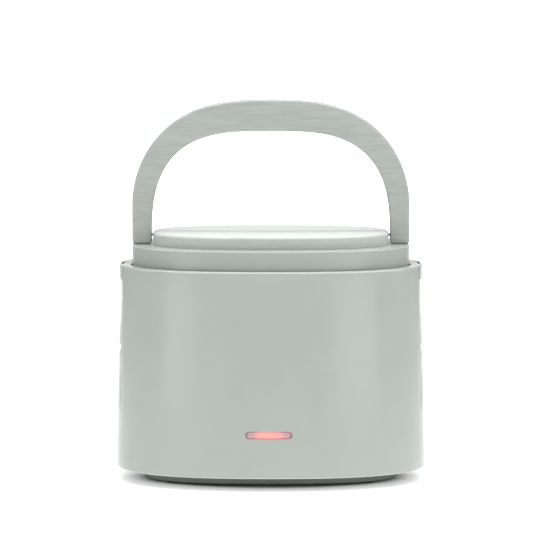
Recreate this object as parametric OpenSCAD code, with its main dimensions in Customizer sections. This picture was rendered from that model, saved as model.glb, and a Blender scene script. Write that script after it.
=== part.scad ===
// Electric lunch box: oval two-tier food warmer with a lift-off lid, a folding
// arch handle and a swinging latch at each end.
// Millimetres. +Z is up, the feet stand on z = 0, the front faces -Y and the
// origin is under the middle of the housing.

/* [Housing] */
// Length of the housing at its foot
housing_len = 234; // [232:0.2:236]
// Depth of the housing at its foot
housing_dep = 141.2; // [139.2:0.4:143.2]
// How much narrower each side is at the rim than at the foot
housing_taper = 3.5; // [3.2:0.1:3.6]
// Height of the housing's bottom edge
housing_z = 10.2; // [9.6:0.1:10.4]
// Thickness of the housing wall
wall = 2.6; // [2.2:0.1:2.8]
// Squareness of the oval plan: 2 is an ellipse
plan_n = 2.5; // [2.4:0.05:2.6]

/* [Plinth] */
// Length of the dark plinth
plinth_len = 192; // [188:1:194]
// Depth of the dark plinth
plinth_dep = 88; // [86:1:90]
// Radius of each rubber foot
foot_r = 7; // [6:0.5:7.5]

/* [Lid] */
// Length of the lid's lower tier
lid_len = 209.4; // [209:0.1:209.6]
// Depth of the lid's lower tier
lid_dep = 125.2; // [124.6:0.2:125.4]
// Height of the lower tier's top face
lid_z = 178.2; // [178:0.1:178.3]
// Length of the lid's upper tier
top_len = 178; // [177:0.1:178.2]
// Depth of the lid's upper tier
top_dep = 98; // [94:0.5:98]
// Height of the upper tier's top face
top_z = 188; // [187.8:0.1:190]

/* [Handle] */
// Height of the top of the arch
handle_z = 287; // [281:0.1:290]
// Half width over the legs
handle_out = 104.5; // [104:0.1:104.6]
// Half width between the legs
handle_in = 89.9; // [89.8:0.1:90.4]
// Height of the arch's inner crown
handle_in_z = 263.2; // [258:0.1:266]
// Depth of the handle, front to back
handle_t = 13.2; // [12.6:0.2:13.2]
// Radius of the handle's pivot pins
handle_pin_r = 1.3; // [1.2:0.1:1.6]

/* [Latches] */
// Half width of each side latch
latch_w = 22; // [20:0.5:22]
// Radius of the latch hinge pins
latch_pin_r = 1.5; // [1.3:0.1:1.5]

/* [Indicator] */
// Length of the light bar
light_len = 34.4; // [30:0.2:36]
// Height of the light bar
light_h = 5.6; // [5:0.1:6]
// Height of the light bar's middle
light_z = 43; // [41:0.5:46]
// Sideways place of the light bar's middle
light_x = -1.5; // [-3:0.5:3]

/* [Hidden] */
$fn = 48;

ring_n = 80;            // points round each oval
sage = [0.72, 0.75, 0.71];
sage_light = [0.78, 0.80, 0.77];
sage_dark = [0.40, 0.44, 0.40];
steel = [0.75, 0.76, 0.77];
dark = [0.12, 0.12, 0.12];
clear_pp = [0.86, 0.88, 0.86];
silicone = [0.80, 0.82, 0.80];

rim_z = 163.6;          // top of the housing's rim ledge
ledge_z = 160.9;        // underside of the rim ledge
ha = housing_len / 2;   // half sizes of the housing at its foot
hb = housing_dep / 2;
la = lid_len / 2;       // half sizes of the lid's lower tier
lb = lid_dep / 2;
ta = top_len / 2;       // half sizes of the lid's upper tier
tb = top_dep / 2;
pa = plinth_len / 2;
pb = plinth_dep / 2;
tub_a = 102;            // outside of the inner liner
tub_b = 60;
tub_z = 154;            // top of the inner liner's wall, where the lid seals
slot_w = latch_w + 0.35;        // half width of the housing's latch recess
pivot_x = 109.4;        // latch hinge axis, along Y
pivot_z = 160.6;
handle_pz = 178.5 + handle_t / 2;   // handle pivot axis, along X
inlet_z = 22.5;
pan_z = 26;             // underside of the heating pan
bowl_1 = 30.1;          // undersides of the two bowls
bowl_2 = 90.1;
bowl_h = 55.8;

// ---- shapes shared by the pieces ----

// One oval outline: a superellipse with half sizes a and b.
function oval(a, b) = [for (i = [0 : ring_n - 1])
  let (t = 360 * i / ring_n, c = cos(t), s = sin(t))
  [a * sign(c) * pow(abs(c), 2 / plan_n), b * sign(s) * pow(abs(s), 2 / plan_n)]];

// How far the oval's end has come in at a distance y from the long axis.
function sag(y, a = 113.8, b = 68.7) = a * (pow(1 - pow(abs(y) / b, plan_n), 1 / plan_n) - 1);

module slab(a, b, z0, z1) translate([0, 0, z0]) linear_extrude(z1 - z0) polygon(oval(a, b));

// Straight oval ring from z0 to z1, with an even wall between a and a - t.
module band(a, b, t, z0, z1) difference() {
  slab(a, b, z0, z1);
  slab(a - t, b - t, z0 - 1, z1 + 1);
}

// Closed skin through ovals [a, b, z] in turn, with a flat cap at each end.
module loft(rings) {
  k = len(rings);
  pts = [for (r = rings) for (p = oval(r[0], r[1])) [p[0], p[1], r[2]]];
  polyhedron(pts, concat(
    [[for (j = [0 : ring_n - 1]) j]],
    [for (i = [0 : k - 2]) for (j = [0 : ring_n - 1]) let (q = (j + 1) % ring_n)
      [i * ring_n + j, (i + 1) * ring_n + j, (i + 1) * ring_n + q]],
    [for (i = [0 : k - 2]) for (j = [0 : ring_n - 1]) let (q = (j + 1) % ring_n)
      [i * ring_n + j, (i + 1) * ring_n + q, i * ring_n + q]],
    [[for (j = [ring_n - 1 : -1 : 0]) (k - 1) * ring_n + j]]));
}

// Curved plate at the +X end that follows the oval's end: two chains of [x, z]
// with as many points each, outer and inner, both rising, from -w to w along Y.
module end_plate(outer, inner, w, steps = 12) {
  k = len(outer);
  m = 2 * k;
  prof = concat(outer, [for (i = [k - 1 : -1 : 0]) inner[i]]);
  pts = [for (s = [0 : steps]) let (y = -w + 2 * w * s / steps)
    for (p = prof) [p[0] + sag(y), y, p[1]]];
  polyhedron(pts, concat(
    [for (s = [0 : steps - 1]) for (i = [0 : m - 1]) let (j = (i + 1) % m)
      [s * m + i, s * m + j, (s + 1) * m + j]],
    [for (s = [0 : steps - 1]) for (i = [0 : m - 1]) let (j = (i + 1) % m)
      [s * m + i, (s + 1) * m + j, (s + 1) * m + i]],
    [for (i = [0 : k - 2]) [i, m - 1 - i, m - 2 - i]],
    [for (i = [0 : k - 2]) [i, m - 2 - i, i + 1]],
    [for (i = [0 : k - 2]) let (e = steps * m) [e + i, e + m - 2 - i, e + m - 1 - i]],
    [for (i = [0 : k - 2]) let (e = steps * m) [e + i, e + i + 1, e + m - 2 - i]]));
}

module both_ends() { children(); mirror([1, 0, 0]) children(); }

// Cylinders along Y and X about their own middles.
module along_y(r, l) rotate([90, 0, 0]) cylinder(r = r, h = l, center = true);
module along_x(r, l) rotate([0, 90, 0]) cylinder(r = r, h = l, center = true);

// Flat pill (a bar with round ends) standing in the XZ plane, from y0 to y1.
module pill(l, h, y0, y1) translate([0, y1, 0]) rotate([90, 0, 0]) linear_extrude(y1 - y0) union() {
  square([l - h, h], center = true);
  for (s = [-1, 1]) translate([s * (l - h) / 2, 0]) circle(r = h / 2);
}

// Screw with its head's underside at z = 0, the shank upwards.
module screw(r, l, head_r, head_h) {
  difference() {
    union() {
      cylinder(r = r, h = l);
      translate([0, 0, -head_h]) cylinder(r = head_r, h = head_h);
    }
    for (a = [0, 90]) rotate([0, 0, a]) translate([0, 0, -head_h])
      cube([head_r * 1.2, 0.7, 1.4], center = true);
  }
}

// Round wire of radius r swept along a route of points.
function unit(v) = v / norm(v);
function heading(p, i) = unit(i == 0 ? p[1] - p[0] : i == len(p) - 1 ? p[i] - p[i - 1]
  : unit(p[i] - p[i - 1]) + unit(p[i + 1] - p[i]));
module wire(p, r, sides = 8) {
  n = len(p);
  ref = [0.37, -0.81, 0.45];
  pts = [for (i = [0 : n - 1]) let (t = heading(p, i), u = unit(cross(t, ref)), v = cross(t, u))
    for (j = [0 : sides - 1]) p[i] + r * (cos(360 * j / sides) * u + sin(360 * j / sides) * v)];
  polyhedron(pts, concat(
    [[for (j = [0 : sides - 1]) j]],
    [for (i = [0 : n - 2]) for (j = [0 : sides - 1]) let (q = (j + 1) % sides)
      [i * sides + j, (i + 1) * sides + j, (i + 1) * sides + q]],
    [for (i = [0 : n - 2]) for (j = [0 : sides - 1]) let (q = (j + 1) % sides)
      [i * sides + j, (i + 1) * sides + q, i * sides + q]],
    [[for (j = [sides - 1 : -1 : 0]) (n - 1) * sides + j]]));
}

// ---- outer housing ----

// Share of the taper still left at height z.
function lean(z) = 1 - max(0, (z - 12) / (rim_z - 12));
function house_ring(z, inset) = [ha - housing_taper + housing_taper * lean(z) - inset,
  hb - housing_taper * 0.63 + housing_taper * 0.63 * lean(z) - inset, z];

module housing_outside() loft([
  house_ring(housing_z, 1.6), house_ring(housing_z + 0.35, 0.65),
  house_ring(housing_z + 0.95, 0.15), house_ring(housing_z + 1.9, 0),
  house_ring(44, 0), house_ring(76, 0), house_ring(106, 0), house_ring(136, 0),
  house_ring(rim_z - 2, 0), house_ring(rim_z - 0.6, 0.55), house_ring(rim_z, 1.9)]);

module housing_inside() loft([
  [ha - 5.3, hb - 5.3, 8], [ha - 5.3, hb - 5.3, 13.4], house_ring(16, wall),
  house_ring(60, wall), house_ring(110, wall), house_ring(ledge_z, wall)]);

// Recess for a latch: its floor leans with the wall, and a shallow scoop for a
// fingertip lies below the latch's end.
module latch_recess() end_plate(
  [[122, 92], [122, 94.6], [122, 96.6], [122, 99], [122, 102.7], [122, 102.8], [122, 150.6], [122, 170]],
  [[116.4, 92], [115.7, 94.6], [114.9, 96.6], [114.2, 99], [114, 102.7], [111.6, 102.8], [110, 150.6], [110, 170]],
  slot_w);

// Low pad under the fingertip scoop: level with the wall at its top, and proud
// of it at its foot.
module latch_pad() end_plate(
  [[115.2, 54.2], [116.2, 54.3], [116.38, 54.8], [116.3, 59], [115.93, 73], [115.45, 84], [115.14, 95], [114.8, 97.5]],
  [[112, 54.2], [112, 54.3], [112, 54.8], [112, 59], [112, 73], [112, 84], [112, 95], [112, 97.5]],
  latch_w);

// Wall behind the recess, shelf and cheeks round the notch for the latch head.
module latch_backing() {
  end_plate([[112.5, 93], [112.5, 150.6]], [[107.2, 93], [107.2, 150.6]], slot_w + 2.6);
  translate([96, -slot_w - 2.6, 148.4]) cube([14.2 + sag(slot_w + 2.6) + 0.9, 2 * slot_w + 5.2, 2.2]);
  for (s = [-1, 1]) translate([96, s * (slot_w + 1.3) - 1.3, 148.4]) cube([13, 2.6, 13]);
}

module outer_housing() color(sage) difference() {
  union() {
    difference() { housing_outside(); housing_inside(); }
    both_ends() intersection() { latch_backing(); slab(ha - housing_taper - 1, hb - 3, 90, rim_z - 1); }
    both_ends() latch_pad();
    // catch rib on the floor of each recess
    both_ends() end_plate([[111.0, 125.4], [111.8, 126.2], [111.8, 127.8], [111.0, 128.6]],
      [[109.4, 125.4], [109.4, 126.2], [109.4, 127.8], [109.4, 128.6]], 14, 6);
    // bosses for the bottom screws, each tied to the wall by a rib
    for (sx = [-1, 1], sy = [-1, 1]) {
      translate([sx * 62, sy * 49, 12.9]) cylinder(r = 4, h = 18.4);
      translate([sx * 62 - 1, sy > 0 ? 50 : -62.6, 12.9]) cube([2, 12.6, 18.4]);
    }
    // thick pad behind the power inlet
    translate([-21, 60.5, 13.6]) cube([42, 8, 17.6]);
    // posts for the indicator board
    for (s = [-1, 1]) translate([light_x + s * 22.5, -66.4, light_z]) along_y(1.8, 3.2);
  }
  slab(la + 0.6, lb + 0.6, tub_z - 0.1, rim_z + 5);
  slab(tub_a + 0.2, tub_b + 0.2, 120, tub_z);
  difference() {
    both_ends() latch_recess();
    // the recess leaves the catch ribs standing
    both_ends() end_plate([[111.0, 125.4], [111.8, 126.2], [111.8, 127.8], [111.0, 128.6]],
      [[109.4, 125.4], [109.4, 126.2], [109.4, 127.8], [109.4, 128.6]], 14, 6);
  }
  both_ends() translate([96, -slot_w, 150.6]) cube([30, 2 * slot_w, 20]);
  for (sx = [-1, 1], sy = [-1, 1]) translate([sx * 62, sy * 49, 10]) cylinder(r = 1.5, h = 16);
  // flush seat and opening for the power inlet
  translate([0, 0, inlet_z]) {
    translate([-17.2, 67.6, -7.2]) cube([34.4, 6, 14.4]);
    translate([-12.2, 55, -6.2]) cube([24.4, 20, 12.4]);
    for (s = [-1, 1]) translate([s * 14.4, 66, 0]) along_y(0.95, 8);
  }
  // window for the light bar, and its seat inside
  translate([light_x, 0, light_z]) {
    pill(light_len + 0.3, light_h + 0.3, -72, -64);
    pill(light_len + 5, light_h + 4, -66.9, -62);
  }
  for (s = [-1, 1]) translate([light_x + s * 22.5, -65.6, light_z]) along_y(0.7, 3.2);
}

// ---- underside ----

module bottom_cover() color(sage_dark) difference() {
  union() {
    loft([[pa - 0.8, pb - 0.8, 1.5], [pa - 0.2, pb - 0.2, 1.9], [pa, pb, 2.7], [pa, pb, 11]]);
    slab(ha - 5.5, hb - 5.5, 10.6, 12.8);
  }
  slab(pa - 2.2, pb - 2.2, 4.5, 20);
  for (sx = [-1, 1], sy = [-1, 1]) {
    translate([sx * 72, sy * 24, 0]) cylinder(r = foot_r + 0.1, h = 2.9);
    translate([sx * 62, sy * 49, 5]) cylinder(r = 1.8, h = 12);
  }
  // rows of vent slots through the floor
  for (i = [-4 : 4]) translate([i * 11, 0, 3]) cube([2.4, 26, 8], center = true);
}

module rubber_feet() color(dark) for (sx = [-1, 1], sy = [-1, 1]) translate([sx * 72, sy * 24, 0])
  rotate_extrude() polygon([[0, 0], [foot_r - 0.8, 0], [foot_r, 0.8], [foot_r, 2.9], [0, 2.9]]);

module bottom_screws() color(steel) for (sx = [-1, 1], sy = [-1, 1])
  translate([sx * 62, sy * 49, 10.6]) screw(1.4, 14, 3.1, 1.7);

// ---- inner liner, pan and heater ----

module inner_liner() color(sage_light) {
  difference() {
    slab(tub_a, tub_b, 32, tub_z);
    slab(tub_a - 2, tub_b - 2, 34, tub_z + 1);
    slab(88.6, 46.6, 31, 35);
  }
  difference() {
    union() {
      band(tub_a + 5.3, tub_b + 5.3, 5.3, 152, tub_z);
      band(tub_a + 5.3, tub_b + 5.3, 1.9, tub_z, ledge_z);
      difference() {
        slab(110.6, 65.6, 158.7, ledge_z);
        slab(tub_a + 3.4, tub_b + 3.4, 158, ledge_z + 1);
      }
    }
    for (s = [-1, 1]) translate([s * 106, 0, 156]) cube([30, 2 * slot_w + 5.6, 20], center = true);
  }
}

module heating_pan() color([0.78, 0.78, 0.79]) difference() {
  union() {
    loft([[84.4, 42.4, pan_z], [87, 45, pan_z + 1.6], [87.8, 45.8, pan_z + 8.8],
      [93, 51, pan_z + 8.8], [93, 51, pan_z + 10], [86.4, 44.4, pan_z + 10],
      [85.6, 43.6, pan_z + 3], [83.6, 41.6, pan_z + 1.5]]);
    // ribs that hold the lower bowl clear of the water
    for (x = [-54, -18, 18, 54]) translate([x - 1.5, -24, pan_z + 1]) cube([3, 48, 3]);
    for (s = [-1, 1]) translate([s * 40, 0, pan_z - 6.2]) cylinder(r = 3.6, h = 6.7);
  }
  for (s = [-1, 1]) translate([s * 40, 0, pan_z - 7]) cylinder(r = 1.6, h = 6.6);
}

module pan_seal() color([0.72, 0.30, 0.24]) band(92.6, 50.6, 3.6, 34, pan_z + 8.8);

module ptc_heater() color(steel) {
  translate([-30, -17, pan_z - 6.2]) cube([60, 34, 6.2]);
}

module heater_clamp() color([0.62, 0.63, 0.64]) difference() {
  translate([-46, -8, pan_z - 7.2]) cube([92, 16, 1]);
  for (s = [-1, 1]) translate([s * 40, 0, pan_z - 8]) cylinder(r = 1.8, h = 3);
}

module clamp_screws() color(steel) for (s = [-1, 1])
  translate([s * 40, 0, pan_z - 7.2]) screw(1.45, 6, 3, 1.6);

module thermostat() color([0.55, 0.35, 0.22]) translate([-62, 0, 0]) {
  translate([0, 0, pan_z - 3]) cylinder(r = 8, h = 3);
  translate([0, 0, pan_z - 7.2]) cylinder(r = 6.6, h = 4.4);
  for (s = [-1, 1]) translate([s * 3.5 - 0.4, -2, pan_z - 11.2]) cube([0.8, 4, 4.2]);
}

module thermal_fuse() color([0.85, 0.85, 0.82]) translate([56, 0, pan_z - 2]) along_y(1.9, 14);

module power_inlet() color(dark) difference() {
  union() {
    translate([-17, 67.7, inlet_z - 7]) cube([34, 2, 14]);
    translate([-12, 56, inlet_z - 6]) cube([24, 12, 12]);
  }
  translate([0, 0, inlet_z]) {
    pill(18.6, 8.8, 58.5, 72);
    for (s = [-1, 1]) {
      translate([s * 4.3, 57, 0]) along_y(1.2, 6);
      translate([s * 14.4, 68, 0]) along_y(1.2, 6);
      translate([s * 14.4, 69.75, 0]) rotate([90, 0, 0]) cylinder(r1 = 2.5, r2 = 1.2, h = 1.3);
    }
  }
}

module inlet_pins() color(steel) for (s = [-1, 1]) translate([s * 4.3, 61, inlet_z]) along_y(1.2, 12.4);

module inlet_screws() color(steel) for (s = [-1, 1]) translate([s * 14.4, 0, inlet_z]) difference() {
  union() {
    translate([0, 69.6, 0]) rotate([90, 0, 0]) cylinder(r1 = 2.3, r2 = 0.9, h = 1.4);
    translate([0, 66.2, 0]) along_y(0.9, 5);
  }
  for (a = [0, 90]) translate([0, 69.6, 0]) rotate([0, a, 0]) cube([2.6, 1, 0.6], center = true);
}

// ---- internal wires ----

module live_wire() color([0.45, 0.28, 0.16]) wire([[-4.3, 54.7, 22.5], [-4.3, 51, 22.5],
  [-5.5, 47, 21], [-9, 43, 16], [-17, 36, 11], [-30, 25, 9], [-44, 13, 8.6], [-53, 5, 9],
  [-57.5, 1, 11], [-58.5, 0, 13], [-58.5, 0, 14.6]], 1.1);

module neutral_wire() color([0.20, 0.35, 0.62]) wire([[4.3, 54.7, 22.5], [4.3, 51, 22.5],
  [5.5, 47, 21], [9, 43, 16], [18, 37, 11], [32, 29, 9], [46, 22, 9.4], [53, 18, 13],
  [55.6, 14, 19], [56, 10.6, 23.2], [56, 7.2, 24]], 1.1);

module thermostat_lead() color([0.45, 0.28, 0.16]) wire([[-65.5, 0, 14.4], [-65.5, -0.6, 12.6],
  [-64, -4, 9.6], [-57, -9, 8.4], [-47, -13, 9.4], [-39, -13.5, 14], [-34.6, -12.6, 20],
  [-32.6, -12, 22.6], [-30.2, -12, 22.9]], 1.1);

module fuse_lead() color([0.20, 0.35, 0.62]) wire([[56, -7.2, 24], [56, -10.6, 23.2],
  [53, -13.4, 19], [46, -14, 16], [39, -13.6, 17], [34.6, -12.6, 21], [32.6, -12, 22.6],
  [30.2, -12, 22.9]], 1.1);

module led_wires() color([0.7, 0.2, 0.2]) for (s = [-1, 1]) wire([
  [light_x + s * 3, -64.2, 38.3], [light_x + s * 3, -64.2, 34], [light_x + s * 3, -62.6, 30],
  [s * 5, -56, 26], [s * 9, -44, 20], [s * 14, -32, 15], [s * 19, -23, 15], [s * 22, -18.6, 19],
  [s * 22, -18.3, 22.2], [s * 22, -17.4, 22.8]], 0.6);

// ---- indicator ----

module indicator_lens() color([1, 0.66, 0.66]) translate([light_x, 0, light_z]) {
  pill(light_len, light_h, -69.8, -65.6);
  pill(light_len + 4, light_h + 3, -66.8, -65.6);
}

module led_board() color([0.16, 0.42, 0.24]) difference() {
  translate([light_x - 26, -64.8, light_z - 4.6]) cube([52, 1.2, 9.2]);
  for (s = [-1, 1]) translate([light_x + s * 22.5, -64, light_z]) along_y(0.9, 4);
}

module leds() color([1, 0.9, 0.85]) for (i = [-1.5 : 1 : 1.5])
  translate([light_x + i * 8 - 1.75, -65.4, light_z - 1.4]) cube([3.5, 0.6, 2.8]);

// ---- lid ----

module lid_cover() color(sage) difference() {
  union() {
    difference() {
      loft([[la, lb, 154.6], [la, lb, lid_z - 1.2], [la - 0.3, lb - 0.3, lid_z - 0.4],
        [la - 1.1, lb - 1.1, lid_z]]);
      slab(la - 2.2, lb - 2.2, 150, lid_z - 2.4);
    }
    // posts for the lid's inner panel
    for (p = lid_posts) translate([p[0], p[1], 166]) cylinder(r = 3.6, h = 11);
    // hinge lug for each latch
    both_ends() {
      translate([pivot_x, 0, pivot_z]) along_y(2.9, 14);
      translate([la - 1.4, -7, pivot_z - 2.6]) cube([pivot_x - la + 1.4, 14, 5.5]);
    }
  }
  for (p = lid_posts) translate([p[0], p[1], 160]) cylinder(r = 1.5, h = 14);
  for (p = top_posts) translate([p[0], p[1], 170]) cylinder(r = 1.7, h = 12);
  both_ends() translate([pivot_x, 0, pivot_z]) along_y(latch_pin_r, 20);
}
lid_posts = [for (sx = [-1, 1], sy = [-1, 1]) [sx * 66, sy * 34], [0, 44], [0, -44]];
top_posts = [for (sx = [-1, 1], sy = [-1, 1]) [sx * 46, sy * 24]];

module lid_top() color(sage_light) difference() {
  union() {
    difference() {
      loft([[ta, tb, lid_z], [ta, tb, top_z - 2.4], [ta - 0.7, tb - 0.7, top_z - 0.8],
        [ta - 2.4, tb - 2.4, top_z]]);
      slab(ta - 2.4, tb - 2.4, lid_z - 1, top_z - 2.2);
    }
    for (p = top_posts) translate([p[0], p[1], lid_z]) cylinder(r = 3.4, h = 8);
    // solid block round each handle pin
    both_ends() translate([ta - 9, -6.6, lid_z]) cube([8.2, 13.2, 8.4]);
  }
  for (p = top_posts) translate([p[0], p[1], lid_z - 1]) cylinder(r = 1.3, h = 7.4);
  both_ends() translate([ta - 2, 0, handle_pz]) along_x(handle_pin_r, 13);
}

module lid_liner() color(sage_light) difference() {
  union() {
    slab(98.9, 56.9, 150, 166);
    band(102.2, 60.2, 3.6, 156.4, 158.4);
  }
  slab(97, 55, 149, 164);
  for (p = lid_posts) translate([p[0], p[1], 160]) cylinder(r = 1.7, h = 8);
}

module lid_seal() color(silicone) {
  difference() {
    union() {
      slab(102.2, 60.2, tub_z + 0.15, 156.4);
      slab(99.7, 57.7, 151.5, 156.4);
    }
    slab(98.9, 56.9, 150, 158);
  }
}

module lid_screws() color(steel) for (p = lid_posts) translate([p[0], p[1], 164]) screw(1.4, 9, 3, 1.6);

module lid_top_screws() color(steel) for (p = top_posts)
  translate([p[0], p[1], lid_z - 2.4]) screw(1.2, 8, 2.8, 1.5);

module handle_pins() color(steel) both_ends() translate([ta + 1, 0, handle_pz]) along_x(handle_pin_r, 16);

// Thin washers, each let into the inner face of a handle leg.
module handle_washers() color(dark) both_ends() translate([handle_in + 0.42, 0, handle_pz]) difference() {
  along_x(4.2, 0.7);
  along_x(handle_pin_r + 0.1, 3);
}

module latch_pins() color(steel) both_ends() translate([pivot_x, 0, pivot_z]) along_y(latch_pin_r, 41);

// ---- handle ----

// One side of the arch, from its springing to its crown.
function arch(a, z0, top, n, m) = [for (i = [0 : 20]) let (t = 90 * i / 20)
  [a * pow(cos(t), 2 / n), z0 + (top - z0) * pow(sin(t), 2 / m)]];
function flip(p) = [for (i = [len(p) - 1 : -1 : 0]) [-p[i][0], p[i][1]]];
function back(p) = [for (i = [len(p) - 1 : -1 : 0]) p[i]];
outer_arch = arch(handle_out, 208, handle_z, 2.8, 1.93);
inner_arch = arch(handle_in, 184, handle_in_z, 3.25, 2.6);

module handle() color(sage_light) difference() {
  intersection() {
    rotate([90, 0, 0]) linear_extrude(handle_t + 2, center = true) polygon(concat(
      [[handle_out, 177]], outer_arch, [for (i = [1 : 20]) flip(outer_arch)[i]],
      [[-handle_out, 177], [-handle_in, 177]],
      back([for (i = [0 : 20]) flip(inner_arch)[i]]),
      [for (i = [1 : 20]) back(inner_arch)[i]], [[handle_in, 177]]));
    rotate([90, 0, 90]) linear_extrude(2 * handle_out + 10, center = true) union() {
      translate([-handle_t / 2, handle_pz]) square([handle_t, 120]);
      translate([0, handle_pz]) circle(r = handle_t / 2, $fn = 96);
      // the foot is square in front and round behind, so it folds backwards
      translate([-handle_t / 2, handle_pz - handle_t / 2 + 0.9]) square([handle_t / 2, handle_t / 2]);
      translate([0.9 - handle_t / 2, handle_pz - handle_t / 2]) square([handle_t / 2 - 0.9, handle_t / 2]);
      translate([0.9 - handle_t / 2, handle_pz - handle_t / 2 + 0.9]) circle(r = 0.9, $fn = 32);
    }
  }
  both_ends() translate([handle_in + 3.4, 0, handle_pz]) along_x(handle_pin_r + 0.05, 10);
  both_ends() translate([handle_in, 0, handle_pz]) along_x(4.3, 1.6);
}

// ---- latches ----

// An arm down the end wall, and a head that fills the notch in the rim. The
// head's back is rounded about the hinge axis, so it clears the lid as it swings.
module latch() difference() {
  end_plate(
    [[112.6, 103.1], [114.6, 103.1], [115.1, 103.7], [115.05, 105], [114.3, 119], [113.6, 130],
     [113.3, 142.7], [113.3, 152], [114.5, 153.2], [114.5, 155.4], [114.5, 157.2], [114.5, 159.2],
     [114.5, 160.6], [114.5, 161.8], [114, 163], [112.6, 163.6]],
    [[112.0, 103.1], [112.0, 103.2], [112.0, 103.8], [112.0, 105], [112.0, 119], [112.0, 130],
     [110.7, 142.7], [110.5, 151], [111.9, 153.2], [111.9, 155.4], [106.7, 157.2], [105.3, 159.2],
     [105.05, 160.6], [105.3, 162], [106, 163.2], [106.6, 163.6]],
    latch_w);
  translate([pivot_x, 0, pivot_z]) {
    along_y(latch_pin_r + 0.05, 60);
    // slot for the lid's lug
    along_y(3.2, 14.6);
    translate([-9, -7.3, 0]) cube([12.2, 14.6, 10]);
    translate([-9, -7.3, -9]) cube([9, 14.6, 10]);
  }
}

module right_latch() color(sage) latch();
module left_latch() color(sage) mirror([1, 0, 0]) latch();

// ---- bowls ----

// Pressed steel bowl with a rounded foot and a flat rim.
module bowl(z) translate([0, 0, z]) loft([for (r = [
    [72, 0], [77, 0.7], [81, 2.4], [84, 5.4], [86.2, 10], [88, 17], [90.4, bowl_h - 2],
    [90.9, bowl_h - 1], [93.6, bowl_h - 1], [93.6, bowl_h], [90.1, bowl_h], [89.6, bowl_h - 2],
    [87.2, 17.2], [85.4, 10.5], [83.3, 6.2], [80.3, 3.3], [76.4, 1.6], [71.5, 0.9]])
  [r[0], r[0] - 42, r[1]]]);

// Lid for a bowl: a skirt outside the rim, and a raised edge above that seats the bowl over it.
module bowl_lid(z) translate([0, 0, z]) loft([for (r = [
    [88.2, 2], [94.1, 2], [94.1, -2.6], [95.5, -2.6], [95.5, 4.6], [94.7, 5.5], [80.6, 5.5], [79.8, 4]])
  [r[0], r[0] - 42, r[1]]]);

module bowl_seal(z) band(93.6, 51.6, 5, z + 0.15, z + 2);

module lower_bowl() color(steel) bowl(bowl_1);
module lower_bowl_lid() color(clear_pp) bowl_lid(bowl_1 + bowl_h);
module lower_lid_seal() color(silicone) bowl_seal(bowl_1 + bowl_h);
module upper_bowl() color(steel) bowl(bowl_2);
module upper_bowl_lid() color(clear_pp) bowl_lid(bowl_2 + bowl_h);
module upper_lid_seal() color(silicone) bowl_seal(bowl_2 + bowl_h);

outer_housing();
bottom_cover();
rubber_feet();
bottom_screws();
inner_liner();
heating_pan();
pan_seal();
ptc_heater();
heater_clamp();
clamp_screws();
thermostat();
thermal_fuse();
power_inlet();
inlet_pins();
inlet_screws();
live_wire();
neutral_wire();
thermostat_lead();
fuse_lead();
led_wires();
indicator_lens();
led_board();
leds();
lid_cover();
lid_top();
lid_liner();
lid_seal();
lid_screws();
lid_top_screws();
handle_pins();
handle_washers();
latch_pins();
handle();
left_latch();
right_latch();
lower_bowl();
lower_bowl_lid();
lower_lid_seal();
upper_bowl();
upper_bowl_lid();
upper_lid_seal();
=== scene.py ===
import math

import bmesh
import bpy
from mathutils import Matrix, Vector


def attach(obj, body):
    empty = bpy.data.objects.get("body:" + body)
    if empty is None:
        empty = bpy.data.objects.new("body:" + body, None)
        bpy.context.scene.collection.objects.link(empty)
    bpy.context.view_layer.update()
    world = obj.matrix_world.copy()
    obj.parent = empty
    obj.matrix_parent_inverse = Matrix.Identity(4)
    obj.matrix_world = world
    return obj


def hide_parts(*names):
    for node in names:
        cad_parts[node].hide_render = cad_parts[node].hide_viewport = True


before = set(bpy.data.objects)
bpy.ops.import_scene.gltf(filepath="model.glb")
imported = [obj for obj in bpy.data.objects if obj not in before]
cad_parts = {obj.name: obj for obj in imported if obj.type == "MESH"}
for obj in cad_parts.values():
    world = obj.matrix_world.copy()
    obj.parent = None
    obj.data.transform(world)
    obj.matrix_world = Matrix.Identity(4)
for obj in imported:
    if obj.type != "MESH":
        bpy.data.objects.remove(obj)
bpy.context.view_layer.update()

# Lengths below are in millimetres and are turned into metres as each mesh is made.
MM = 0.001
PLAN = 2.5                      # squareness of the oval plan
RIM_Z, LEDGE_Z = 163.6, 160.9
LID_A, LID_B, LID_Z = 104.7, 62.6, 178.2
TOP_A, TOP_B, TOP_Z = 89.0, 49.0, 188.0
PIVOT_X, PIVOT_Z = 109.4, 160.6
HANDLE_T, HANDLE_PZ = 13.2, 185.1
LATCH_W, SLOT_W = 22.0, 22.35
INLET_Z = 22.5
LIGHT_X, LIGHT_Z = -1.5, 43.0


# ------------------------------------------------------------------ shape tools

def sgn_pow(v, e):
    return math.copysign(abs(v) ** e, v)


def on_oval(a, b, t):
    return a * sgn_pow(math.cos(t), 2 / PLAN), b * sgn_pow(math.sin(t), 2 / PLAN)


def even_angles(count, a=113.8, b=68.7):
    """Angles that space points evenly along the oval, the same in each quarter."""
    fine = 4000
    pts = [on_oval(a, b, 0.5 * math.pi * i / fine) for i in range(fine + 1)]
    run = [0.0]
    for p, q in zip(pts, pts[1:]):
        run.append(run[-1] + math.dist(p, q))
    quarter, per, j = [], count // 4, 0
    for k in range(per):
        while run[j] < run[-1] * k / per:
            j += 1
        quarter.append(0.5 * math.pi * j / fine)
    return [q + 0.5 * math.pi * s for s in range(4) for q in (
        quarter if s % 2 == 0 else [0.5 * math.pi - v for v in reversed(quarter[1:] + [0.5 * math.pi])])]


ANGLES = even_angles(320)


def oval(a, b, z, angles=None):
    return [(*on_oval(a, b, t), z) for t in (angles or ANGLES)]


def smooth(v, lo, hi):
    w = min(1.0, max(0.0, (v - lo) / (hi - lo)))
    return w * w * (3 - 2 * w)


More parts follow.
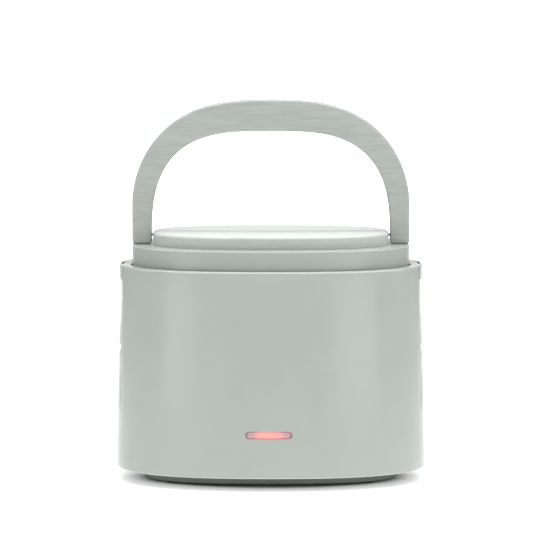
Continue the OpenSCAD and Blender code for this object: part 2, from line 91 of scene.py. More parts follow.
def house_columns():
    """(fixed y or None, angle) of each column round the housing. Near the two ends the
    columns stand at fixed y, clear of the edges of the latch recess."""
    a, b = 113.8, 68.7
    ys = [0.0, 3.5, 7.0, 10.5, 14.0, 17.4, 20.5, 24.6, 27.6, 30.8, 34.0]
    t_of = lambda y: math.asin((y / b) ** (PLAN / 2))
    quarter = [(y, t_of(y)) for y in ys]
    rest = [t for t in even_angles(400, a, b) if t_of(35.6) < t < 0.5 * math.pi - 1e-6]
    quarter += [(None, t) for t in rest]
    out = []
    for q in range(4):
        if q == 0:
            out += [(y, t) for y, t in quarter]
        elif q == 1:
            out += [(None, 0.5 * math.pi)]
            out += [(y, math.pi - t) for y, t in reversed(quarter[1:])]
        elif q == 2:
            out += [(None if y is None else -y, math.pi + t) for y, t in quarter]
        else:
            out += [(None, 1.5 * math.pi)]
            out += [(None if y is None else -y, 2 * math.pi - t) for y, t in reversed(quarter[1:])]
    return out


COLUMNS = house_columns()


def house_oval(a, b, z):
    """Oval ring on the housing's own columns."""
    ring = []
    for y_fix, t in COLUMNS:
        x, y = on_oval(a, b, t)
        if y_fix is not None:
            w = smooth(abs(y_fix), 25.0, 35.0)
            y = y_fix * (1 - w) + y * w
            x = math.copysign(a * (1 - (abs(y) / b) ** PLAN) ** (1 / PLAN), x)
        ring.append((x, y, z))
    return ring


def lean(z):
    return 1 - max(0.0, (z - 12) / (RIM_Z - 12))


def house_size(z):
    return 113.5 + 3.5 * lean(z), 68.395 + 2.205 * lean(z)


def sag(y, a=113.8, b=68.7):
    return a * ((1 - (abs(y) / b) ** PLAN) ** (1 / PLAN) - 1)


def rounded(chain, closed=False, steps=4):
    """Chain of (u, v, r): each corner with a radius is turned into an arc."""
    out, m = [], len(chain)
    for i, (u, v, r) in enumerate(chain):
        if r <= 0 or (not closed and i in (0, m - 1)):
            out.append((u, v))
            continue
        p, before, after = Vector((u, v)), Vector(chain[i - 1][:2]), Vector(chain[(i + 1) % m][:2])
        d0, d1 = before - p, after - p
        l0, l1 = d0.length, d1.length
        d0, d1 = d0 / l0, d1 / l1
        half = d0.angle(d1) / 2
        reach = min(r / math.tan(half), 0.49 * l0, 0.49 * l1)
        rr = reach * math.tan(half)
        centre = p + (d0 + d1).normalized() * (rr / math.sin(half))
        s, e = p + d0 * reach - centre, p + d1 * reach - centre
        turn = s.angle(e)
        for k in range(steps + 1):
            w = k / steps
            q = centre + (s * math.sin((1 - w) * turn) + e * math.sin(w * turn)) / math.sin(turn)
            out.append((q.x, q.y))
    return out


def make(name, verts, faces):
    """New object from points in millimetres, its faces turned outwards."""
    mesh = bpy.data.meshes.new(name)
    mesh.from_pydata([(x * MM, y * MM, z * MM) for x, y, z in verts], [], faces)
    bm = bmesh.new()
    bm.from_mesh(mesh)
    bmesh.ops.remove_doubles(bm, verts=bm.verts, dist=1e-7)
    bmesh.ops.recalc_face_normals(bm, faces=bm.faces)
    bm.to_mesh(mesh)
    bm.free()
    obj = bpy.data.objects.new(name, mesh)
    bpy.context.scene.collection.objects.link(obj)
    return obj


def skin(name, rings, closed=False):
    """Closed skin through rings with as many points each: capped at both ends, or
    joined end to end when closed."""
    n, k = len(rings[0]), len(rings)
    verts = [p for r in rings for p in r]
    faces = []
    for i in range(k if closed else k - 1):
        i2 = (i + 1) % k
        for j in range(n):
            q = (j + 1) % n
            faces.append((i * n + j, i * n + q, i2 * n + q, i2 * n + j))
    if not closed:
        faces.append(tuple(range(n)))
        faces.append(tuple(reversed(range((k - 1) * n, k * n))))
    return make(name, verts, faces)


def ovals(chain, a, b):
    """Rings at (inset, z) inside the oval of half sizes a and b; a negative inset is outside."""
    return [oval(a - u, b - u, z) for u, z in chain]


def cylinder(name, r, start, end, sides=64, edge=0.0):
    """Round bar between two points, its rims rounded by edge."""
    start, end = Vector(start), Vector(end)
    axis = (end - start).normalized()
    side = axis.orthogonal().normalized()
    other = axis.cross(side)
    length = (end - start).length
    prof = [(r, 0), (r, length)]
    if edge:
        arc = [(r - edge + edge * math.sin(0.5 * math.pi * k / 4), edge - edge * math.cos(0.5 * math.pi * k / 4)) for k in range(5)]
        prof = arc + [(q, length - h) for q, h in reversed(arc)]
    rings = []
    for q, h in prof:
        rings.append([tuple(start + axis * h + (side * math.cos(2 * math.pi * j / sides) + other * math.sin(2 * math.pi * j / sides)) * q)
                      for j in range(sides)])
    return skin(name, rings)


def block(name, lo, hi, edge=0.0):
    """Rectangular bar with every edge rounded."""
    x0, y0, z0 = lo
    x1, y1, z1 = hi
    v = [(x, y, z) for z in (z0, z1) for y in (y0, y1) for x in (x0, x1)]
    f = [(0, 2, 3, 1), (4, 5, 7, 6), (0, 1, 5, 4), (2, 6, 7, 3), (0, 4, 6, 2), (1, 3, 7, 5)]
    obj = make(name, v, f)
    if edge:
        soften(obj, edge, segments=3)
    return obj


def baked(obj):
    """Applies every modifier, in place."""
    dg = bpy.context.evaluated_depsgraph_get()
    mesh = bpy.data.meshes.new_from_object(obj.evaluated_get(dg), preserve_all_data_layers=True, depsgraph=dg)
    obj.modifiers.clear()
    old = obj.data
    obj.data = mesh
    bpy.data.meshes.remove(old)
    return obj


def combine(target, others, how):
    """Boolean of target with each of the others, which are then removed."""
    for o in others:
        m = target.modifiers.new("cut", "BOOLEAN")
        m.operation, m.solver, m.object = how, "EXACT", o
        baked(target)
        bpy.data.meshes.remove(o.data)
    return target


def cut(target, *others):
    return combine(target, others, "DIFFERENCE")


def add(target, *others):
    return combine(target, others, "UNION")


def join(target, *others):
    """Puts the meshes of the others into target as they are."""
    bm = bmesh.new()
    bm.from_mesh(target.data)
    for o in others:
        bm.from_mesh(o.data)
        bpy.data.meshes.remove(o.data)
    bm.to_mesh(target.data)
    bm.free()
    return target


def soften(obj, width, angle=40.0, segments=3, keep=None):
    """Rounds the sharp edges of a mesh. keep(mid) chooses among them."""
    bm = bmesh.new()
    bm.from_mesh(obj.data)
    bmesh.ops.dissolve_degenerate(bm, dist=2e-7, edges=bm.edges)
    weight = bm.edges.layers.float.new("bevel_weight_edge")
    limit = math.radians(angle)
    for e in bm.edges:
        if len(e.link_faces) == 2 and e.calc_face_angle(0) > limit:
            mid = (e.verts[0].co + e.verts[1].co) * 500
            if keep is None or keep(mid):
                e[weight] = 1.0
    bm.to_mesh(obj.data)
    bm.free()
    m = obj.modifiers.new("edges", "BEVEL")
    m.limit_method, m.width, m.segments = "WEIGHT", width * MM, segments
    m.use_clamp_overlap = True
    m.miter_outer = "MITER_ARC"
    return baked(obj)


def finish_skin(obj, angle=32.0):
    """Smooth shading, creased only at real corners, flat faces kept flat."""
    mesh = obj.data
    for p in mesh.polygons:
        p.use_smooth = True
    mesh.set_sharp_from_angle(angle=math.radians(angle))
    m = obj.modifiers.new("normals", "WEIGHTED_NORMAL")
    m.keep_sharp, m.weight, m.mode = True, 50, "FACE_AREA"
    return obj


def mirror_x(obj, name):
    """Copy of obj at the other end."""
    mesh = obj.data.copy()
    bm = bmesh.new()
    bm.from_mesh(mesh)
    for v in bm.verts:
        v.co.x = -v.co.x
    bmesh.ops.reverse_faces(bm, faces=bm.faces)
    bm.to_mesh(mesh)
    bm.free()
    twin = bpy.data.objects.new(name, mesh)
    bpy.context.scene.collection.objects.link(twin)
    return twin


def end_plate(name, prof, w, steps=22, edge=0.0, drop=sag):
    """Curved bar at the +X end: the closed profile of (x, z) swept from -w to w along Y
    and bent round the end. Its two ends are rounded by edge."""
    def ring(y, inset):
        pts = prof
        if inset > 0:
            m = len(prof)
            area = sum(prof[i][0] * prof[(i + 1) % m][1] - prof[(i + 1) % m][0] * prof[i][1] for i in range(m))
            pts = []
            for i in range(m):
                p, q = Vector(prof[i - 1]), Vector(prof[(i + 1) % m])
                d = (q - p).normalized()
                n = Vector((-d.y, d.x)) * (1 if area > 0 else -1)
                pts.append(tuple(Vector(prof[i]) + n * inset))
        return [(x + drop(y), y, z) for x, z in pts]
    rings = []
    if edge:
        for k in range(4):
            f = 0.5 * math.pi * k / 4
            rings.append(ring(-w + edge - edge * math.cos(f), edge - edge * math.sin(f)))
    inner = w - edge
    rings += [ring(-inner + 2 * inner * s / steps, 0) for s in range(steps + 1)]
    if edge:
        for k in reversed(range(4)):
            f = 0.5 * math.pi * k / 4
            rings.append(ring(w - edge + edge * math.cos(f), edge - edge * math.sin(f)))
    return skin(name, rings)


def pill_ring(l, h, y, cx=0.0, cz=0.0, arc=14):
    pts = []
    for side in (1, -1):
        for k in range(arc + 1):
            f = -0.5 * math.pi + math.pi * k / arc
            pts.append((cx + side * ((l - h) / 2 + h / 2 * math.cos(f)), y, cz + side * h / 2 * math.sin(f)))
    return pts


def pill(name, l, h, y0, y1, cx, cz):
    return skin(name, [pill_ring(l, h, y0, cx, cz), pill_ring(l, h, y1, cx, cz)])


def tube(name, route, r, sides=14, fine=6):
    """Round wire through the route's points on a smooth curve."""
    p = [Vector(q) for q in route]
    ext = [p[0] * 2 - p[1]] + p + [p[-1] * 2 - p[-2]]
    line = []
    for i in range(1, len(ext) - 2):
        for k in range(fine):
            t = k / fine
            a, b, c, d = ext[i - 1], ext[i], ext[i + 1], ext[i + 2]
            line.append(0.5 * ((2 * b) + (c - a) * t + (2 * a - 5 * b + 4 * c - d) * t * t + (3 * b - a - 3 * c + d) * t ** 3))
    line.append(p[-1])
    rings, up = [], None
    for i, q in enumerate(line):
        d = (line[min(i + 1, len(line) - 1)] - line[max(i - 1, 0)]).normalized()
        up = (d.orthogonal() if up is None else up - d * up.dot(d)).normalized()
        side = d.cross(up)
        rings.append([tuple(q + (up * math.cos(2 * math.pi * j / sides) + side * math.sin(2 * math.pi * j / sides)) * r)
                      for j in range(sides)])
    return skin(name, rings)


# ------------------------------------------------------------------ materials

def material(name, colour, rough=0.5, metal=0.0, **more):
    m = bpy.data.materials.new(name)
    m.use_nodes = True
    t = m.node_tree
    s = t.nodes["Principled BSDF"]
    s.inputs["Base Color"].default_value = (*colour, 1)
    s.inputs["Roughness"].default_value = rough
    s.inputs["Metallic"].default_value = metal
    for key, value in more.items():
        s.inputs[key.replace("_", " ")].default_value = value
    return m, t, s


def node(t, kind, **sets):
    n = t.nodes.new(kind)
    for k, v in sets.items():
        setattr(n, k, v)
    return n


def place(t, scale=(1, 1, 1), rotate=(0, 0, 0)):
    """The object's own coordinates in metres, stretched by scale."""
    c = node(t, "ShaderNodeTexCoord")
    m = node(t, "ShaderNodeMapping")
    m.inputs["Scale"].default_value = scale
    m.inputs["Rotation"].default_value = rotate
    t.links.new(c.outputs["Object"], m.inputs["Vector"])
    return m.outputs["Vector"]


def noise(t, vec, scale, detail=3.0, rough=0.5, distort=0.0):
    n = node(t, "ShaderNodeTexNoise")
    n.inputs["Scale"].default_value = scale
    n.inputs["Detail"].default_value = detail
    n.inputs["Roughness"].default_value = rough
    n.inputs["Distortion"].default_value = distort
    t.links.new(vec, n.inputs["Vector"])
    return n.outputs[0]


def to_range(t, value, a, b, lo, hi, kind="LINEAR"):
    n = node(t, "ShaderNodeMapRange", interpolation_type=kind)
    for i, v in zip(("From Min", "From Max", "To Min", "To Max"), (a, b, lo, hi)):
        n.inputs[i].default_value = v
    t.links.new(value, n.inputs["Value"])
    return n.outputs["Result"]


def blend_colour(t, fac, c0, c1):
    n = node(t, "ShaderNodeMix", data_type="RGBA")
    for i, c in zip((6, 7), (c0, c1)):
        if isinstance(c, tuple):
            n.inputs[i].default_value = (*c, 1)
        else:
            t.links.new(c, n.inputs[i])
    t.links.new(fac, n.inputs[0])
    return n.outputs[2]


def math_node(t, op, a, b=None):
    n = node(t, "ShaderNodeMath", operation=op)
    for i, v in enumerate((a, b)):
        if v is None:
            continue
        if isinstance(v, (int, float)):
            n.inputs[i].default_value = v
        else:
            t.links.new(v, n.inputs[i])
    return n.outputs[0]


def bump(t, s, height, distance, strength=1.0, normal=None):
    n = node(t, "ShaderNodeBump")
    n.inputs["Strength"].default_value = strength
    n.inputs["Distance"].default_value = distance
    t.links.new(height, n.inputs["Height"])
    if normal is not None:
        t.links.new(normal, n.inputs["Normal"])
    t.links.new(n.outputs["Normal"], s.inputs["Normal"])
    return n.outputs["Normal"]


def tone(c, k):
    return tuple(min(1.0, v * k) for v in c)


def moulded(name, colour, rough=0.42, vary=0.02, pebble=0.000012, spot=2400.0, **more):
    """Satin moulded plastic: very fine spark-eroded texture, faint cloudy flow marks."""
    m, t, s = material(name, colour, rough, **more)
    vec = place(t)
    cloud = noise(t, vec, 26.0, 4.0, 0.55, 0.4)
    t.links.new(blend_colour(t, to_range(t, cloud, 0.3, 0.7, 0.0, 1.0), tone(colour, 1 - vary), tone(colour, 1 + vary)), s.inputs["Base Color"])
    fine = noise(t, vec, spot, 2.0, 0.6)
    mix = math_node(t, "ADD", math_node(t, "MULTIPLY", cloud, 0.5), math_node(t, "MULTIPLY", fine, 0.5))
    t.links.new(to_range(t, mix, 0.3, 0.7, rough - 0.035, rough + 0.035), s.inputs["Roughness"])
    bump(t, s, fine, pebble, 0.55)
    return m


def wood_grain(name, colour, rough, stretch, contrast=0.055, depth=0.00003, **more):
    """Sage plastic with a faint, fine wood grain along X."""
    m, t, s = material(name, colour, rough, **more)
    kx, ky, kz = stretch
    broad = noise(t, place(t, (kx * 0.55, ky * 0.42, kz * 0.42)), 1.0, 3.0, 0.6, 1.1)
    streak = noise(t, place(t, (kx, ky, kz)), 1.0, 4.0, 0.62, 0.5)
    pore = noise(t, place(t, (kx * 2.6, ky * 3.4, kz * 3.4)), 1.0, 2.0, 0.5, 0.2)
    pores = to_range(t, pore, 0.56, 0.70, 0.0, 1.0, "SMOOTHSTEP")
    v = math_node(t, "ADD", math_node(t, "MULTIPLY", broad, 0.45), math_node(t, "MULTIPLY", streak, 0.55))
    fac = math_node(t, "SUBTRACT", to_range(t, v, 0.34, 0.66, 0.0, 1.0), math_node(t, "MULTIPLY", pores, 0.35))
    t.links.new(blend_colour(t, fac, tone(colour, 1 - contrast), tone(colour, 1 + contrast)), s.inputs["Base Color"])
    t.links.new(to_range(t, v, 0.3, 0.7, rough + 0.05, rough - 0.05), s.inputs["Roughness"])
    height = math_node(t, "SUBTRACT", math_node(t, "MULTIPLY", streak, 0.7), math_node(t, "MULTIPLY", pores, 0.5))
    bump(t, s, height, depth, 0.6)
    return m


def brushed(name, colour, rough, stretch, lines=0.00001, vary=0.05, **more):
    """Metal with fine drawn lines."""
    m, t, s = material(name, colour, rough, 1.0, **more)
    streak = noise(t, place(t, stretch), 1.0, 4.0, 0.6)
    cloud = noise(t, place(t), 45.0, 3.0, 0.5)
    t.links.new(blend_colour(t, streak, tone(colour, 1 - vary), tone(colour, 1 + vary)), s.inputs["Base Color"])
    mix = math_node(t, "ADD", math_node(t, "MULTIPLY", streak, 0.6), math_node(t, "MULTIPLY", cloud, 0.4))
    t.links.new(to_range(t, mix, 0.3, 0.7, rough - 0.08, rough + 0.08), s.inputs["Roughness"])
    bump(t, s, streak, lines, 0.5)
    return m


SAGE = (0.386, 0.419, 0.388)
SAGE_WOOD = (0.392, 0.425, 0.394)
# painted light: the upper tier of the lid gets a much lighter copy of the handle's sage, standing in for the extra
# light on its top and face
SAGE_TOP_LIT = (0.540, 0.576, 0.545)
SAGE_DARK = (0.166, 0.205, 0.168)
# painted shade: the lower tier of the lid gets a darker copy of the body's sage, standing in for the shade that falls
# on its face
SAGE_LID_SHADED = (0.364, 0.395, 0.366)

M_BODY = moulded("sage_body", SAGE, 0.22)
# painted shade: the lid's lower tier uses the darker, shaded copy of the body's sage
M_LID_SHADED = moulded("sage_lid_painted_shade", SAGE_LID_SHADED, 0.26)
# the upper tier's wood grain is its real finish; its lighter tone is painted light, lighter than the handle's sage
M_TOP_LIT = wood_grain("sage_wood_top_painted_light", SAGE_TOP_LIT, 0.48, (34.0, 620.0, 620.0), 0.050)
M_HANDLE = wood_grain("sage_wood_handle", SAGE_WOOD, 0.46, (38.0, 150.0, 640.0), 0.115)
M_PLINTH = moulded("plinth_green", SAGE_DARK, 0.50, 0.05, 0.00002, 1500.0)
M_FOOT = moulded("foot_rubber", (0.030, 0.031, 0.030), 0.72, 0.15, 0.00003, 1300.0)
M_LINER = moulded("liner_plastic", (0.62, 0.65, 0.61), 0.34, 0.015, 0.000008, 1900.0)
M_SILICONE = moulded("silicone_pale", (0.62, 0.65, 0.62), 0.52, 0.03, 0.00001, 1500.0, Subsurface_Weight=0.12)
M_PANSEAL = moulded("silicone_red", (0.42, 0.085, 0.05), 0.50, 0.06, 0.00001, 1500.0)
M_BOWL = brushed("bowl_steel", (0.60, 0.60, 0.605), 0.27, (60.0, 60.0, 2600.0))
M_PAN = brushed("pan_aluminium", (0.66, 0.67, 0.68), 0.38, (90.0, 1500.0, 90.0))
M_BOWLLID = moulded("bowl_lid_plastic", (0.70, 0.74, 0.70), 0.30, 0.02, 0.000008, 1800.0, Subsurface_Weight=0.15)
M_STEEL = brushed("zinc_steel", (0.56, 0.565, 0.57), 0.33, (900.0, 900.0, 900.0), 0.000006)
M_SPRING = brushed("spring_steel", (0.47, 0.475, 0.48), 0.30, (120.0, 2400.0, 2400.0))
M_NICKEL = brushed("nickel_pin", (0.68, 0.67, 0.65), 0.20, (2200.0, 160.0, 2200.0), 0.000004)
M_HPIN = brushed("pin_satin", (0.80, 0.81, 0.80), 0.52, (160.0, 2200.0, 2200.0), 0.000004)
M_HPIN.node_tree.nodes["Principled BSDF"].inputs["Metallic"].default_value = 0.35
M_HEATER = brushed("heater_aluminium", (0.60, 0.605, 0.62), 0.42, (60.0, 1300.0, 1300.0))
M_INLET = moulded("inlet_black", (0.022, 0.022, 0.023), 0.44, 0.12, 0.00002, 1500.0)
M_PHENOL = moulded("thermostat_phenolic", (0.13, 0.052, 0.024), 0.30, 0.12, 0.00001, 900.0)
M_CERAMIC = moulded("fuse_ceramic", (0.74, 0.72, 0.66), 0.24, 0.05, 0.00001, 800.0, Coat_Weight=0.4)
M_BROWN = moulded("wire_brown", (0.14, 0.058, 0.025), 0.42, 0.06, 0.000008, 1500.0)
M_BLUE = moulded("wire_blue", (0.035, 0.085, 0.30), 0.42, 0.06, 0.000008, 1500.0)
M_RED = moulded("wire_red", (0.42, 0.03, 0.03), 0.42, 0.06, 0.000008, 1500.0)
M_WASHER = moulded("acetal_black", (0.03, 0.03, 0.031), 0.40, 0.10, 0.00001, 1500.0)


def board_material():
    """Green circuit board with faint tracks under its varnish."""
    m, t, s = material("board_green", (0.02, 0.14, 0.05), 0.28, Coat_Weight=0.5)
    vec = place(t, (700.0, 700.0, 700.0))
    n = node(t, "ShaderNodeTexVoronoi", feature="DISTANCE_TO_EDGE", distance="MANHATTAN")
    n.inputs["Scale"].default_value = 0.35
    t.links.new(vec, n.inputs["Vector"])
    track = to_range(t, n.outputs["Distance"], 0.05, 0.09, 1.0, 0.0, "SMOOTHSTEP")
    t.links.new(blend_colour(t, track, (0.018, 0.13, 0.045), (0.05, 0.26, 0.08)), s.inputs["Base Color"])
    bump(t, s, track, 0.00003, 0.6)
    return m


def light_bar_material():
    """Frosted pink light bar: brightest over its middle, fading to mauve at both ends."""
    m, t, s = material("light_bar", (0.40, 0.27, 0.28), 0.26)
    c = node(t, "ShaderNodeTexCoord")
    sep = node(t, "ShaderNodeSeparateXYZ")
    t.links.new(c.outputs["Object"], sep.inputs["Vector"])
    off = math_node(t, "ABSOLUTE", math_node(t, "SUBTRACT", sep.outputs["X"], LIGHT_X * MM))
    glow = to_range(t, off, 0.0020, 0.0155, 1.0, 0.0, "SMOOTHERSTEP")
    grain = noise(t, place(t), 900.0, 2.0, 0.5)
    tip = to_range(t, off, 0.0145, 0.0172, 0.0, 1.0, "SMOOTHSTEP")
    t.links.new(blend_colour(t, tip, (0.40, 0.27, 0.28), (0.20, 0.10, 0.105)), s.inputs["Base Color"])
    base = blend_colour(t, glow, (0.12, 0.035, 0.05), (0.80, 0.150, 0.110))
    t.links.new(blend_colour(t, to_range(t, grain, 0.3, 0.7, 0.0, 0.10), base, (0.55, 0.20, 0.20)), s.inputs["Emission Color"])
    s.inputs["Emission Strength"].default_value = 1.0
    bump(t, s, grain, 0.00001, 0.4)
    return m


def led_material():
    m, t, s = material("led_lit", (0.85, 0.70, 0.60), 0.30)
    n = noise(t, place(t), 700.0, 2.0)
    t.links.new(blend_colour(t, n, (1.0, 0.25, 0.18), (1.0, 0.42, 0.34)), s.inputs["Emission Color"])
    s.inputs["Emission Strength"].default_value = 1.5
    return m


M_BOARD, M_LENS, M_LED = board_material(), light_bar_material(), led_material()


def done(obj, body, mat, slot, *nodes, shade=32.0):
    """Finish, material, body and the CAD nodes this piece stands for."""
    if shade:
        finish_skin(obj, shade)
    obj.data.materials.clear()
    obj.data.materials.append(mat)
    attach(obj, body)
    if nodes:
        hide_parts(*nodes)
    return obj


# ------------------------------------------------------------------ housing

def house_shell():
    rings = []
    outside = [(5.3, 13.4, 0), (5.3, 10.2, 0.5), (0.0, 10.2, 1.7)]
    outside += [(0.0, z, 0) for z in (16, 24, 32, 41, 50, 60, 70, 80, 90, 100, 110, 119, 128, 136, 143.5, 147.6, 153.5, 158.5)]
    outside += [(0.0, RIM_Z, 2.1), (9.0, RIM_Z, 0)]
    pts = rounded(outside, steps=7)[:-1]
    for u, z in pts:
        a, b = house_size(z)
        rings.append(house_oval(a - u, b - u, z))
    for u, z in rounded([(-4.0, RIM_Z, 0), (0.0, RIM_Z, 0.7), (0.0, LEDGE_Z, 0.3), (-4.0, LEDGE_Z, 0)], steps=4)[1:-1]:
        rings.append(house_oval(105.3 - u, 63.2 - u, z))
    for z in (LEDGE_Z, 110.0, 60.0, 16.0):
        a, b = house_size(z)
        rings.append(house_oval(a - 2.6, b - 2.6, z))
    return skin("housing", rings, closed=True)


def catmull(pts, fine=5):
    p = [Vector(q) for q in pts]
    ext = [p[0] * 2 - p[1]] + p + [p[-1] * 2 - p[-2]]
    out = []
    for i in range(1, len(ext) - 2):
        for k in range(fine):
            t = k / fine
            a, b, c, d = ext[i - 1], ext[i], ext[i + 1], ext[i + 2]
            q = 0.5 * ((2 * b) + (c - a) * t + (2 * a - 5 * b + 4 * c - d) * t * t + (3 * b - a - 3 * c + d) * t ** 3)
            out.append((q.x, q.y))
    return out + [tuple(p[-1])]


def build_housing():
    shell = house_shell()
    w = SLOT_W
    for side in (1, -1):
        flip = (lambda o: o) if side > 0 else (lambda o: flip_in_place(o))
        back = flip(end_plate("back", [(112.5, 93), (112.5, 150.6), (107.2, 150.6), (107.2, 93)], w + 2.6))
        shelf = flip(block("shelf", (98, -w - 2.6, 148.4), (108.6, w + 2.6, 150.55)))
        cheek_a = flip(block("cheek_a", (98.5, w, 148.4), (108.2, w + 2.6, 161.6)))
        cheek_b = flip(block("cheek_b", (98.5, -w - 2.6, 148.4), (108.2, -w, 161.6)))
        face = catmull([(116.34, 55.4), (116.26, 60), (115.93, 73), (115.45, 84), (115.12, 95), (114.7, 98)], 3)
        pad = [(112.0, 98.0), (112.0, 54.3), (115.6, 54.3)] + [(116.0, 54.38), (116.24, 54.75)] + face
        add(shell, back, shelf, cheek_a, cheek_b, flip(end_plate("pad", pad, LATCH_W, edge=0.4)))
        scoop = catmull([(116.4, 91.9), (115.65, 94.6), (114.9, 96.7), (114.25, 99.2), (114.0, 102.7)], 4)
        floor = scoop + [(111.6, 102.8), (110.0, 150.6), (110.0, 170)]
        recess = flip(end_plate("recess", [(123, 170), (123, 91.6)] + floor, w, steps=24))
        notch = flip(block("notch", (96, -w, 150.6), (126, w, 170.6)))
        opening = skin("opening", [oval(105.3, 63.2, 148.0), oval(105.3, 63.2, 158.0)])
        cut(shell, recess, notch, opening)
        rib = rounded([(109.0, 125.0, 0), (110.6, 125.0, 0), (111.8, 126.3, 0.5), (111.8, 127.7, 0.5), (110.6, 129.0, 0), (109.0, 129.0, 0)])
        add(shell, flip(end_plate("rib", rib, 14, steps=10, edge=0.5)))
    # pad behind the power inlet, bosses for the bottom screws, posts for the indicator board
    add(shell, block("inlet_pad", (-21, 60.5, 13.6), (21, 68.2, 31.2)))
    for sx in (-1, 1):
        for sy in (-1, 1):
            y0, y1 = sorted((sy * 50.0, sy * 62.4))
            add(shell, cylinder("boss", 4.0, (sx * 62, sy * 49, 12.9), (sx * 62, sy * 49, 31.3), 32),
                block("rib", (sx * 62 - 1, y0, 12.95), (sx * 62 + 1, y1, 31.2)))
            cut(shell, cylinder("pilot", 1.5, (sx * 62, sy * 49, 10), (sx * 62, sy * 49, 26), 24))
        add(shell, cylinder("post", 1.8, (LIGHT_X + sx * 22.5, -68.0, LIGHT_Z), (LIGHT_X + sx * 22.5, -64.8, LIGHT_Z), 24))
        cut(shell, cylinder("pilot", 0.7, (LIGHT_X + sx * 22.5, -67.2, LIGHT_Z), (LIGHT_X + sx * 22.5, -64.0, LIGHT_Z), 20))
    # seat and opening for the power inlet, corners rounded
    cut(shell, slab_y("inlet_seat", 34.4, 14.4, 1.9, 67.6, 74, 0, INLET_Z), slab_y("inlet_way", 24.4, 12.4, 0.6, 55, 75, 0, INLET_Z))
    # window for the light bar
    cut(shell, pill("window", 34.6, 5.5, -73, -66.5, LIGHT_X, LIGHT_Z), pill("window_seat", 39.4, 9.6, -67.2, -62, LIGHT_X, LIGHT_Z))

    def seen(p):
        ax = abs(p.x)
        if ax > 99 and p.z > 90:                       # recess and notch
            return p.z < 163.9
        if p.y > 66.5 and p.z < 32 and abs(p.x) < 19:  # inlet seat
            return True
        return p.y < -68.6 and abs(p.z - LIGHT_Z) < 5  # window rim
    soften(shell, 0.32, angle=34, segments=3, keep=seen)
    return done(shell, "base", M_BODY, "body", "outer_housing")


def flip_in_place(obj):
    bm = bmesh.new()
    bm.from_mesh(obj.data)
    for v in bm.verts:
        v.co.x = -v.co.x
    bmesh.ops.reverse_faces(bm, faces=bm.faces)
    bm.to_mesh(obj.data)
    bm.free()
    return obj


def slab_y(name, l, h, r, y0, y1, cx, cz, edge=0.0):
    """Plate in the XZ plane with rounded corners, from y0 to y1; edge rounds the rim at y1."""
    def ring(y, inset):
        pts = rounded([(cx + sx * (l / 2 - inset), cz + sz * (h / 2 - inset), max(0.05, r - inset)) for sx, sz in
                       ((1, 1), (-1, 1), (-1, -1), (1, -1))], closed=True, steps=6)
        return [(x, y, z) for x, z in pts]
    rings = [ring(y0, 0), ring(y1 - edge, 0)] if edge else [ring(y0, 0), ring(y1, 0)]
    if edge:
        rings += [ring(y1 - edge + edge * math.sin(f), edge - edge * math.cos(f)) for f in (0.39, 0.79, 1.18, 1.5708)]
    return skin(name, rings)


# ------------------------------------------------------------------ underside

def build_plinth():
    a, b = 96.0, 44.0
    out = [oval(a - u, b - u, z) for u, z in rounded([(8, 1.5, 0), (0, 1.5, 0.9), (0, 10.6, 0)], steps=6)[1:]]
    flange = [oval(111.2 - u, 65.0 - u, z) for u, z in rounded([(8, 10.6, 0), (0, 10.6, 0.4), (0, 12.8, 0.4), (8, 12.8, 0)], steps=3)[1:-1]]
    inside = [oval(a - 2.2, b - 2.2, 12.8), oval(a - 2.2, b - 2.2, 4.5)]
    cover = skin("plinth", out + flange + inside)
    tools = []
    for sx in (-1, 1):
        for sy in (-1, 1):
            tools.append(cylinder("seat", 7.1, (sx * 72, sy * 24, -1), (sx * 72, sy * 24, 2.9)))
            tools.append(cylinder("well", 1.8, (sx * 62, sy * 49, 5), (sx * 62, sy * 49, 16), 32))
    for i in range(-4, 5):
        tools.append(slot_z("vent", i * 11, 0, 2.4, 26, -1, 7))
    cut(cover, *tools)
    soften(cover, 0.25, angle=50, segments=2, keep=lambda p: p.z < 3.5)
    return done(cover, "base", M_PLINTH, "plinth", "bottom_cover")


def slot_z(name, cx, cy, w, l, z0, z1):
    """Slot along Y with round ends."""
    def ring(z):
        pts = []
        for side in (1, -1):
            for k in range(9):
                f = math.pi * k / 8
                pts.append((cx + side * w / 2 * math.cos(f), cy + side * ((l - w) / 2 + w / 2 * math.sin(f)), z))
        return pts
    return skin(name, [ring(z0), ring(z1)])


# ------------------------------------------------------------------ liner, pan, heater

